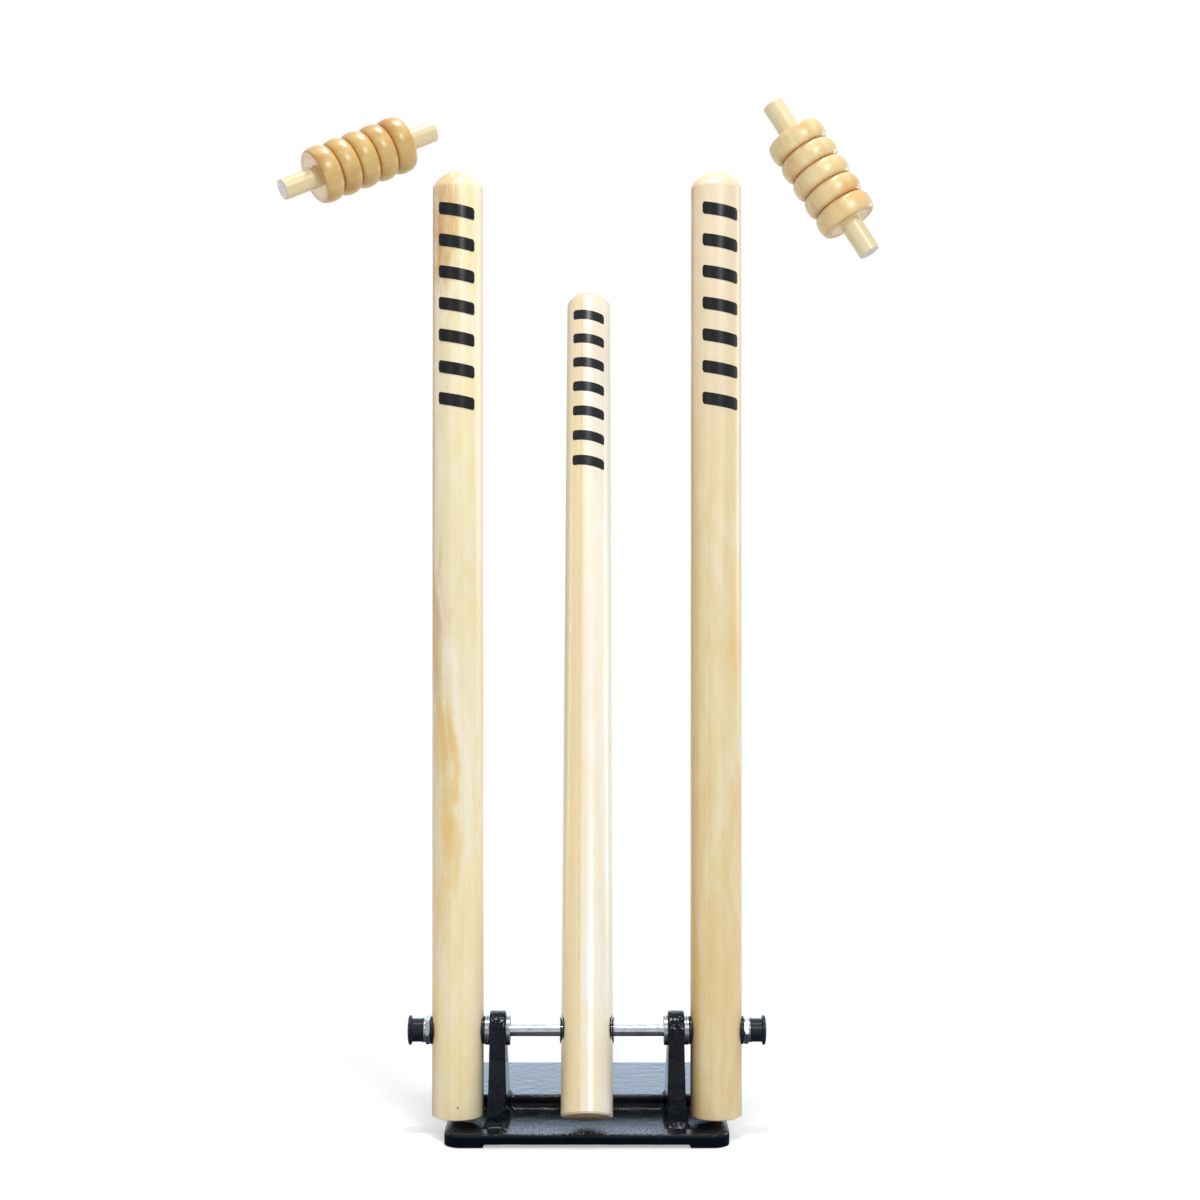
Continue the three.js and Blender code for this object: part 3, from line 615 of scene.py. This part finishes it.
def cast_base():
    """The casting with soft edges and an uneven skin, which fades out at the soles of its feet."""
    voxel, smoothings = ((0.75, 7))
    obj = copy_of("base_casting", "base_enamelled")
    remesh = obj.modifiers.new("remesh", "REMESH")
    remesh.mode = "VOXEL"
    remesh.voxel_size = voxel * MM
    smooth = obj.modifiers.new("smooth", "SMOOTH")
    smooth.factor = 0.5
    smooth.iterations = smoothings
    final_mesh(obj)
    mesh = obj.data
    points = np.zeros(len(mesh.vertices) * 3)
    normals = np.zeros(len(mesh.vertices) * 3)
    mesh.vertices.foreach_get("co", points)
    mesh.vertices.foreach_get("normal", normals)
    points, normals = points.reshape(-1, 3), normals.reshape(-1, 3)
    swell = np.array([noise.noise(Vector(p) * 110) for p in points])
    ripple = np.array([noise.noise(Vector(p) * 330 + Vector((9, 4, 2))) for p in points])
    above_soles = np.clip((points[:, 2] / MM - 0.6) / 1.5, 0, 1)
    shift = (0.11 * swell + 0.05 * ripple) * MM * above_soles
    points += normals * shift[:, None]
    mesh.vertices.foreach_set("co", points.ravel())
    mesh.update()
    mesh.shade_smooth()
    stand_for(obj, "base_casting", ENAMEL)


# Wooden stumps, upright with the rod at their origin

def dome_point(share, rim):
    """A point of the dome, from its middle at 0 to its rim at 1, a little fuller towards the rim."""
    angle = share * math.asin(rim / DOME_RADIUS)
    fuller = 1 + (DOME_RIM_RADIUS / rim - 1) * share ** 3
    return DOME_RADIUS * math.sin(angle) * fuller, STUMP_ABOVE_ROD - DOME_RADIUS * (1 - math.cos(angle))


def stump_profile():
    """Rings of (radius, height) from the middle of the foot to the top, closest beside the bore."""
    foot = -STUMP_BELOW_ROD
    rim_z = STUMP_ABOVE_ROD - DOME_HEIGHT
    rim = math.sqrt(2 * DOME_RADIUS * DOME_HEIGHT - DOME_HEIGHT ** 2)
    shoulder = rim_z - SHOULDER_BREAK
    corner = [(17.0, foot), (18.2, foot), (STUMP_RADIUS, foot + 0.8), (STUMP_RADIUS, foot + 3)]
    rings = [(r, foot) for r in np.linspace(2, 16, 8)] + rounded(corner, 0.6)
    heights = [foot + 6, foot + 12, *np.arange(-40, -15, 5.0), *np.arange(-13, 14, 1.0),
               *np.arange(15, 41, 5.0), *np.arange(60, shoulder - 10, 20.0), shoulder - 3]
    slope = (STUMP_TOP_RADIUS - STUMP_RADIUS) / (shoulder - foot)
    rings += [(STUMP_RADIUS + slope * (z - foot), z) for z in heights]
    rings += rounded([(rings[-1][0], shoulder - 1.5), (STUMP_TOP_RADIUS, shoulder),
                      (DOME_RIM_RADIUS, rim_z), dome_point(0.94, rim)], 0.7)
    dome_rings = 46
    rings += [dome_point(0.92 * (1 - step / dome_rings), rim) for step in range(dome_rings)]
    return rings


def grooved(y, z):
    """The height of a point of the dome with the bails' groove in it, its edges softened."""
    if z < STUMP_ABOVE_ROD - DOME_HEIGHT or abs(y) >= GROOVE_RADIUS:
        return z
    groove_z = STUMP_ABOVE_ROD - GROOVE_DEPTH + GROOVE_RADIUS
    floor = groove_z - math.sqrt(GROOVE_RADIUS ** 2 - y * y)
    soft = 0.7
    near = max(soft - abs(z - floor), 0) / soft
    return min(z, floor) - near * near * soft / 4


def wooden_stump(name, spot_depth, seed, tear):
    """tear is how much a torn fibre lifts the rim of the foot, which ends about a millimetre up."""
    sides = 160
    rim_from, rim_below = 17.5, 1 - STUMP_BELOW_ROD
    rings = stump_profile()
    verts = [(0, 0, -STUMP_BELOW_ROD)]
    for radius, z in rings:
        for i in range(sides):
            angle = 2 * math.pi * i / sides
            x, y = radius * math.cos(angle), radius * math.sin(angle)
            wave = noise.noise(Vector((x * 0.03, y * 0.03, z * 0.006 + seed))) * 0.12
            grow = 1 + wave * min(1, max(0, z - 20) / 60) / STUMP_RADIUS
            if radius > rim_from and z < rim_below:
                z += max(0, noise.noise(Vector((x * 1.1, y * 1.1, seed))) - 0.05) * tear
            verts.append((x * grow, y * grow, grooved(y, z)))
    top = len(verts)
    verts.append((0, 0, grooved(0, STUMP_ABOVE_ROD)))
    faces = [(0, 1 + (i + 1) % sides, 1 + i) for i in range(sides)]
    for level in range(len(rings) - 1):
        low, high = 1 + level * sides, 1 + (level + 1) * sides
        for i in range(sides):
            j = (i + 1) % sides
            faces.append((low + i, low + j, high + j, high + i))
    last = 1 + (len(rings) - 1) * sides
    faces += [(last + i, last + (i + 1) % sides, top) for i in range(sides)]
    body = piece(name, verts, faces)

    end, flat = STUMP_RADIUS + 3, STUMP_RADIUS - spot_depth
    through = revolved("cut_through", [
        (-end, 0), (-end, SPOT_RADIUS), (-flat, SPOT_RADIUS), (-flat, CROSS_BORE_RADIUS),
        (flat, CROSS_BORE_RADIUS), (flat, SPOT_RADIUS), (end, SPOT_RADIUS), (end, 0)])
    carve(body, [through, leg_hole(LEG_HOLE_X, LEG_HOLE_IN_WOOD)])
    return body


BARS = 7
BAR_THICKNESS = 9.0
BARS_FROM, BARS_TO = 456.0, 609.0
BAR_SLANT = math.tan(10 * DEG)
BAR_HALF = 44 * DEG * STUMP_TOP_RADIUS
BAR_CORNER = 1.8
BAR_COLUMNS = 33
BAR_SUNK, BAR_RAISED = 0.4, 0.22


def painted_bars(name, stump, turn):
    """Plain slanted bars in black ink round the upper front of a stump."""
    verts, faces = [], []
    pitch = (BARS_TO - BARS_FROM - BAR_THICKNESS - 2 * BAR_HALF * BAR_SLANT) / (BARS - 1)
    for bar in range(BARS):
        middle = BARS_FROM + BAR_THICKNESS / 2 + BAR_HALF * BAR_SLANT + bar * pitch
        first = len(verts)
        for column in range(BAR_COLUMNS):
            u = -BAR_HALF + 2 * BAR_HALF * column / (BAR_COLUMNS - 1)
            inset = max(0.0, BAR_CORNER - (BAR_HALF - abs(u)))
            lost = BAR_CORNER - math.sqrt(BAR_CORNER ** 2 - inset ** 2)
            z = middle - u * BAR_SLANT
            share = (z + STUMP_BELOW_ROD) / (STUMP_ABOVE_ROD + STUMP_BELOW_ROD - DOME_HEIGHT)
            radius = STUMP_RADIUS + (STUMP_TOP_RADIUS - STUMP_RADIUS) * share
            angle = -math.pi / 2 + turn * DEG + u / STUMP_TOP_RADIUS
            for r in (radius - BAR_SUNK, radius + BAR_RAISED):
                for v in (z - BAR_THICKNESS / 2 + lost, z + BAR_THICKNESS / 2 - lost):
                    verts.append((r * math.cos(angle), r * math.sin(angle), v))
        for column in range(BAR_COLUMNS - 1):
            a = first + 4 * column
            b = a + 4
            faces += [(a + 2, b + 2, b + 3, a + 3), (a, a + 1, b + 1, b), (a + 1, a + 3, b + 3, b + 1),
                      (a, b, b + 2, a + 2)]
        a, b = first, first + 4 * (BAR_COLUMNS - 1)
        faces += [(a, a + 2, a + 3, a + 1), (b, b + 1, b + 3, b + 2)]
    bars = piece(name, verts, faces)
    bars.data.set_sharp_from_angle(angle=35 * DEG)
    bars.data.materials.append(INK)
    bars.matrix_world = stump.matrix_world.copy()
    bpy.context.view_layer.update()
    bars.parent = stump
    bars.matrix_parent_inverse = stump.matrix_world.inverted()


def make_stumps():
    outer = (0, OUTER_SPOT_DEPTH, OUTER_FLANGE_THICKNESS, OUTER_TEAR)
    knocked_back = (MIDDLE_TILT, MIDDLE_SPOT_DEPTH, MIDDLE_FLANGE_THICKNESS, MIDDLE_TEAR)
    rows = (
        ("left", outer, YELLOW, "yellow_wood", 0),
        ("middle", knocked_back, CREAM, "cream_wood", 0),
        ("right", outer, TAN, "tan_wood", 9),
    )
    for i, (name, build, material, slot, bars_turn) in enumerate(rows):
        tilt, spot_depth, flange_thickness, tear = build
        on_the_rod = Matrix.Translation((STUMP_PLACES[name] * MM, 0, ROD_HEIGHT * MM))
        place = on_the_rod @ Matrix.Rotation(-tilt * DEG, 4, "X")
        stump = wooden_stump(f"{name}_stump_turned", spot_depth, 17.0 * i, tear)
        stump.matrix_world = place
        stand_for(stump, f"{name}_stump", material)
        painted_bars(f"{name}_stump_bars", stump, bars_turn)
        flat = STUMP_RADIUS - spot_depth
        for side, facing in (("left", -1), ("right", 1)):
            bush = flanged_bush(f"{name}_stump_{side}_bush_turned", STUMP_FLANGE_RADIUS,
                                flange_thickness, STUMP_SLEEVE_RADIUS, flat - STUMP_SLEEVE_END)
            offset = Matrix.Translation((facing * flat * MM, 0, 0))
            bush.matrix_world = place @ offset @ towards(facing)
            stand_for(bush, f"{name}_stump_{side}_bush", CAP)


# Rod and what is threaded on it

def flanged_bush(name, flange, thickness, sleeve, length):
    """From x = 0 its sleeve reaches towards -X and its flange towards +X."""
    return ring(name, [(-length, BORE_RADIUS), (-length, sleeve), (0, sleeve), (0, flange),
                       (thickness, flange), (thickness, BORE_RADIUS)], 0.45)


def washer(name, thickness, radius):
    return ring(name, [(0, BORE_RADIUS), (0, radius), (thickness, radius), (thickness, BORE_RADIUS)], 0.35)


def hexagon(angle, x, radius):
    """The nut's reach: the bore, the flats, or the cone that takes its corners off."""
    sixth = (angle + math.pi / 6) % (math.pi / 3) - math.pi / 6
    corner = NUT_APOTHEM / math.cos(math.pi / 6)
    cone = corner - NUT_CHAMFER + min(x, NUT_THICKNESS - x)
    return min(radius, NUT_APOTHEM / math.cos(sixth), cone)


def jam_nut(name):
    past_corners = 20.0
    bore, chamfer = BORE_RADIUS, NUT_BORE_CHAMFER
    levels = NUT_THICKNESS * (0.5 - 0.5 * np.cos(np.linspace(0, math.pi, 13)))
    outline = [(0, bore + chamfer), *((x, past_corners) for x in levels),
               (NUT_THICKNESS, bore + chamfer), (NUT_THICKNESS - chamfer, bore), (chamfer, bore)]
    nut = revolved(name, outline, 144, closed=True, reach=hexagon)
    nut.data.set_sharp_from_angle(angle=22 * DEG)
    return nut


def retainer(name):
    """A dished ring: flat beside the rod, then sloping away from it."""
    seat = (BORE_RADIUS + RETAINER_RADIUS) / 2
    return ring(name, [(0, BORE_RADIUS), (0, seat), (RETAINER_DISH, RETAINER_RADIUS),
                       (RETAINER_DISH + RETAINER_THICKNESS, RETAINER_RADIUS),
                       (RETAINER_THICKNESS, seat), (RETAINER_THICKNESS, BORE_RADIUS)], 0.3)


def end_cap(name):
    """Spool-shaped: a small rim, a plain body, a wide flange with a domed end, hollow inside."""
    shoulder = CAP_LENGTH - CAP_DOME
    profile = [
        (CAP_FLANGE_FROM, 0), (CAP_FLANGE_FROM, BORE_RADIUS), (0, BORE_RADIUS),
        (0, CAP_RIM_RADIUS), (CAP_RIM_WIDTH, CAP_RIM_RADIUS), (CAP_RIM_WIDTH, CAP_BODY_RADIUS),
        (CAP_FLANGE_FROM - CAP_FLARE, CAP_BODY_RADIUS), (CAP_FLANGE_FROM, CAP_BODY_RADIUS + CAP_FLARE),
        (CAP_FLANGE_FROM, CAP_FLANGE_RADIUS), (shoulder, CAP_FLANGE_RADIUS)]
    profile += [(shoulder + CAP_DOME * math.cos(a), CAP_FLANGE_RADIUS * math.sin(a))
                for a in np.linspace(math.pi / 2, 0, 16)[1:-1]] + [(CAP_LENGTH, 0)]
    return revolved(name, rounded(profile, 0.35))


def pivot_rod(name):
    half = (rod_high.x - rod_low.x) / 2 / MM
    neck = ROD_RADIUS - ROD_CHAMFER
    rod = revolved(name, rounded(
        [(-half, 0), (-half, neck), (-half + ROD_CHAMFER, ROD_RADIUS),
         (half - ROD_CHAMFER, ROD_RADIUS), (half, neck), (half, 0)], 0.3))
    carve(rod, [leg_hole(x - LEG_HOLE_X, LEG_HOLE_IN_ROD) for x in STUMP_PLACES.values()])
    return rod


def on_rod(obj, node_name, facing, material, turn=0):
    """Places a turned piece, drawn from x = 0 along +X, where its CAD node starts."""
    low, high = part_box(node_name)
    x = low.x if facing > 0 else high.x
    about = Matrix.Rotation(turn * DEG, 4, "X")
    obj.matrix_world = Matrix.Translation((x, 0, ROD_HEIGHT * MM)) @ towards(facing) @ about
    stand_for(obj, node_name, material)


def make_rod_pieces():
    rod = pivot_rod("pivot_rod_polished")
    rod.matrix_world = Matrix.Translation((0, 0, ROD_HEIGHT * MM))
    stand_for(rod, "pivot_rod", CHROME)
    for name, facing in (("left", -1), ("right", 1)):
        for kind, size in (("bracket_washer", WASHER), ("stump_washer", WASHER),
                           ("end_washer", END_WASHER)):
            on_rod(washer(f"{name}_{kind}_turned", **size), f"{name}_{kind}", facing, ZINC)
        on_rod(jam_nut(f"{name}_jam_nut_milled"), f"{name}_jam_nut", facing, ZINC, NUT_TURNS[name])
        bush = flanged_bush(f"{name}_bracket_bush_turned", BRACKET_FLANGE_RADIUS,
                            BRACKET_FLANGE_THICKNESS, BRACKET_SLEEVE_RADIUS, BRACKET_SLEEVE_LENGTH)
        low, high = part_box(f"{name}_bracket_bush")
        inner = low.x if facing > 0 else high.x
        start = inner + facing * BRACKET_FLANGE_THICKNESS * MM
        bush.matrix_world = Matrix.Translation((start, 0, ROD_HEIGHT * MM)) @ towards(-facing)
        stand_for(bush, f"{name}_bracket_bush", ZINC)
        on_rod(end_cap(f"{name}_end_cap_moulded"), f"{name}_end_cap", facing, CAP)
        on_rod(retainer(f"middle_{name}_retainer_pressed"), f"middle_{name}_retainer", facing,
               DARK_STEEL)
        for slot_of in nodes[f"{name}_set_screw"].material_slots:
            slot_of.material = DARK_STEEL


def make_springs():
    """Each spring is a copy of its CAD coil in spring steel, fixed in place. On the real object it twists
    with its stump: one leg stays in the rod, the other goes with the wood.
    """
    for name, x in STUMP_PLACES.items():
        spring = copy_of(f"{name}_return_spring", f"{name}_return_spring_coil")
        spring.data.materials.clear()
        spring.data.materials.append(SPRING_STEEL)
        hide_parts(f"{name}_return_spring")
        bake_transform(spring)


# Bails

def turned_bail(name):
    """Five beads between flat faces, with a plain spigot at each end."""
    bead = BAIL_HALF / BAIL_BEADS
    start, end = -BAIL_HALF - LONG_SPIGOT, BAIL_HALF + SHORT_SPIGOT
    profile = rounded([(start, 0), (start, SPIGOT_RADIUS), (start + 4, SPIGOT_RADIUS)], 0.9)
    profile += [(x, SPIGOT_RADIUS) for x in np.linspace(start + 6, -BAIL_HALF - 1.2, 6)]
    profile += rounded([(-BAIL_HALF - 1.0, SPIGOT_RADIUS), (-BAIL_HALF, SPIGOT_RADIUS),
                        (-BAIL_HALF, FACE_RADIUS - 0.6)], 0.4)
    for i in range(BAIL_BEADS):
        middle = (2 * i + 1) * bead - BAIL_HALF
        for angle in np.linspace(0, math.pi, 29)[1 if i else 0:]:
            first = i == 0 and angle < math.pi / 2
            last = i == BAIL_BEADS - 1 and angle > math.pi / 2
            foot = FACE_RADIUS if first or last else WAIST_RADIUS
            swell = math.sin(angle) ** 0.8
            profile.append((middle - bead * math.cos(angle), foot + (BEAD_RADIUS - foot) * swell))
    profile += rounded([(BAIL_HALF, FACE_RADIUS - 0.6), (BAIL_HALF, SPIGOT_RADIUS),
                        (BAIL_HALF + 1.0, SPIGOT_RADIUS)], 0.4)
    profile += [(x, SPIGOT_RADIUS) for x in np.linspace(BAIL_HALF + 1.2, end - 6, 5)]
    profile += rounded([(end - 4, SPIGOT_RADIUS), (end, SPIGOT_RADIUS), (end, 0)], 0.9)
    bail = revolved(name, profile, 128)
    bail.data.set_sharp_from_angle(angle=50 * DEG)
    return bail


def turned(angle, axis, size=4):
    return Matrix.Rotation(angle * DEG, size, axis)


def make_bails():
    """Each bail hangs where it has flown to: a distance from its seat, sideways, down, and turned."""
    seat_z = ROD_HEIGHT + STUMP_ABOVE_ROD - GROOVE_DEPTH + SPIGOT_RADIUS
    rows = (("left", -1, 410.4, -10.4, 11.3, 27.3, 25.1), ("right", 1, 453.9, 10.0, 12.6, -16.7, -57.4))
    for name, side, distance, sideways, drop, heading, rise in rows:
        seat = Vector((side * STUMP_SPACING / 2, 0, seat_z))
        away = turned(sideways, "Z", 3) @ turned(drop, "X", 3) @ Vector((0, -1, 0))
        bail = turned_bail(f"{name}_bail_turned")
        place = Matrix.Translation((seat + away * distance) * MM)
        bail.matrix_world = place @ (turned(heading, "Z") @ turned(-rise, "Y"))
        stand_for(bail, f"{name}_bail", BAILS[name])


cast_base()
make_stumps()
make_rod_pieces()
make_bails()
make_springs()


# Floor, light and camera

WHITE = (1, 1, 1, 1)


def ray_kinds(tree):
    """Whether a ray comes straight from the camera, and whether a surface has mirrored or bent it."""
    path = node(tree, "LightPath").outputs
    mirrored = math_node(tree, "MAXIMUM", path["Is Glossy Ray"], path["Is Transmission Ray"])
    return path["Is Camera Ray"], mirrored


def make_floor():
    """Pale near the object and white farther out. Its gloss tone is painted: greyer than the floor, and
    nearly black near the object as a painted shadow of the base.
    """
    bpy.ops.mesh.primitive_plane_add(size=60, location=(0, 0, -0.0002))
    floor = bpy.context.object
    floor.name = "floor"
    material = bpy.data.materials.new("pale_floor")
    material.use_nodes = True
    tree = material.node_tree
    tree.nodes.clear()
    straight, mirrored = ray_kinds(tree)
    away = length_of(tree, own_place(tree))
    # Painted reflection: the floor shows grey in gloss, and nearly black within about 13 cm of the object,
    # fading out by 24 cm, as a painted shadow of the base.
    near, farther = (0.08, 0.1, 0.13, 1), (0.42, 0.47, 0.54, 1)
    painted_gloss_tone = blend_colour(tree, spread(tree, away, 0.13, 0.24), near, farther)
    tone = blend_colour(tree, mirrored, (0.74, 0.75, 0.77, 1), painted_gloss_tone)
    matt = node(tree, "BsdfDiffuse", {"Color": tone}).outputs[0]
    glow = times(tree, straight, 0.42)
    lift = node(tree, "Emission", {"Color": WHITE, "Strength": glow}).outputs[0]
    lifted = node(tree, "AddShader", {0: matt, 1: lift}).outputs[0]
    white = node(tree, "Emission", {"Color": WHITE, "Strength": 1.0}).outputs[0]
    far = spread(tree, away, 0.28, 0.62)
    shown = node(tree, "MixShader", {0: far, 1: lifted, 2: white}).outputs[0]
    seen = math_node(tree, "MAXIMUM", straight, mirrored)
    mixed = node(tree, "MixShader", {0: seen, 1: matt, 2: shown}).outputs[0]
    node(tree, "OutputMaterial", {0: mixed})
    floor.data.materials.append(material)


def make_world():
    """White to the camera, even light on the object, and a studio with dark sides in its gloss."""
    world = bpy.data.worlds.new("studio")
    bpy.context.scene.world = world
    world.use_nodes = True
    tree = world.node_tree
    tree.nodes.clear()
    straight, mirrored = ray_kinds(tree)
    parts = axes_of(tree, node(tree, "TexCoord").outputs["Generated"])
    sideways = math_node(tree, "ABSOLUTE", parts["X"])
    level = spread(tree, math_node(tree, "ABSOLUTE", parts["Z"]), 0.6, 0.25)
    front = times(tree, spread(tree, parts["Y"], -0.1, -0.6), level)
    left = times(tree, spread(tree, parts["X"], -0.15, -0.4), level)
    dark = math_node(tree, "MAXIMUM", front, left)
    behind = times(tree, spread(tree, parts["Y"], 0.55, 0.9), spread(tree, sideways, 0.35, 0.15))
    strength = times_plus(tree, behind, 1.4, spread(tree, dark, 0, 1, 0.8, 0.45))
    tint = blend_colour(tree, behind, (0.95, 0.975, 1, 1), (0.66, 0.81, 1, 1))
    ambient = node(tree, "Background", {"Color": (0.98, 0.99, 1, 1), "Strength": 0.46}).outputs[0]
    studio = node(tree, "Background", {"Color": tint, "Strength": strength}).outputs[0]
    white = node(tree, "Background", {"Color": WHITE, "Strength": 1.0}).outputs[0]
    lit = node(tree, "MixShader", {0: mirrored, 1: ambient, 2: studio}).outputs[0]
    seen = node(tree, "MixShader", {0: straight, 1: lit, 2: white}).outputs[0]
    node(tree, "OutputWorld", {0: seen})


def lamp(name, place, target, size, watts):
    data = bpy.data.lights.new(name, "AREA")
    data.shape = "RECTANGLE"
    data.size, data.size_y = size
    data.energy = watts
    obj = linked(name, data)
    obj.location = place
    obj.rotation_euler = (Vector(target) - Vector(place)).to_track_quat("-Z", "Y").to_euler()
    obj.visible_camera = False


make_floor()
make_world()
lamp("key", (0.68, -1.84, 1.38), (0, 0, 0.38), (0.45, 0.55), 15.5)
lamp("fill", (-1.1, -1.7, 0.8), (0, 0, 0.38), (0.9, 1.2), 2)
lamp("ceiling", (-0.01, -0.35, 1.68), (0, 0, 0.05), (0.25, 0.06), 8)
lamp("strip_left", (-1.2, 0.49, 0.66), (0, 0.12, 0.33), (0.16, 0.75), 1.8)
lamp("strip_right", (1.2, 0.49, 0.66), (0, 0.12, 0.33), (0.16, 0.75), 3.5)

SENSOR_WIDTH = 36
FOCAL_PIXELS, PICTURE_PIXELS = 1994.5, 1200
camera_data = bpy.data.cameras.new("camera")
camera_data.sensor_width = SENSOR_WIDTH
camera_data.lens = SENSOR_WIDTH * FOCAL_PIXELS / PICTURE_PIXELS
camera = linked("camera", camera_data)
camera.location = (0.0096, -1.473, 0.3955)
camera.rotation_euler = (math.pi / 2, 0, 0)
bpy.context.scene.camera = camera

bpy.context.scene.view_settings.view_transform = "Standard"
